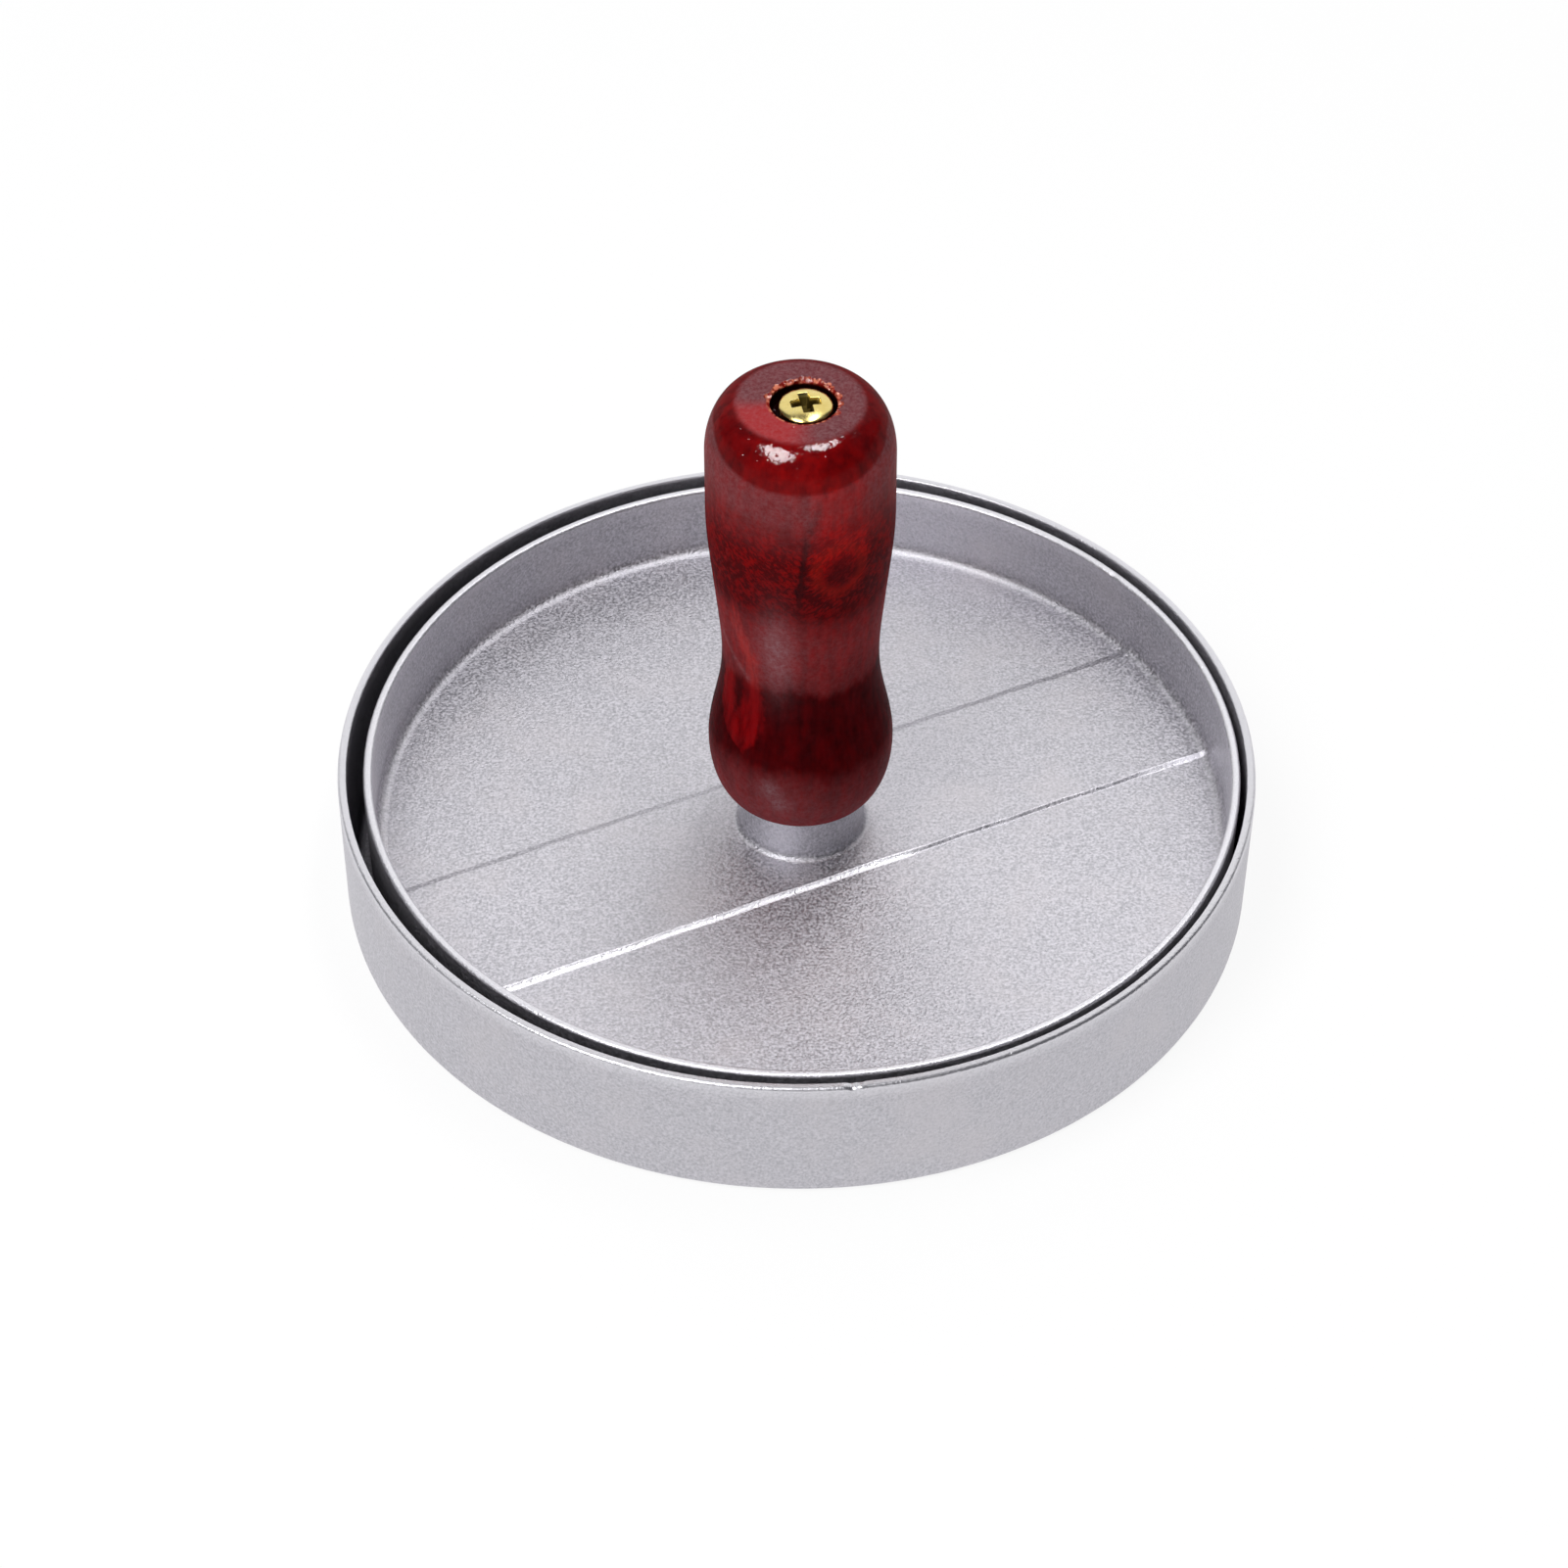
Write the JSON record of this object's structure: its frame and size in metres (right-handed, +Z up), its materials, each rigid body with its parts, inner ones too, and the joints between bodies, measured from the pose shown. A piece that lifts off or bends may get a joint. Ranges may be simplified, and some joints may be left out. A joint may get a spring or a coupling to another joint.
{
  "type": "burger press",
  "caption": "Round cast-aluminium burger press: a shallow dish and a lift-out press plate with a turned wooden handle on a raised boss.",
  "frame": {"origin": "middle of the dish's flat underside, on the surface that the press stands on", "axes": "+Z up, along the handle and the lift of the plate; +X to the right and +Y away from the viewer in the picture"},
  "size_m": [0.125, 0.125, 0.0819],
  "materials": {
    "cast_aluminium": "die cast and blasted to a fine satin grain",
    "lacquered_wood": "stained dark red under clear gloss lacquer",
    "brass_plate": "bright brass plate on steel"
  },
  "bodies": {
    "mould": {"mould_dish": "cast_aluminium"},
    "plunger": {"press_plate": "cast_aluminium", "handle": "lacquered_wood", "handle_screw": "brass_plate"}
  },
  "joints": [
    {"name": "plunger_lift", "type": "slide", "parent": "mould", "child": "plunger", "axis": [0, 0, 1], "range_m": [0, 0.035]}
  ]
}
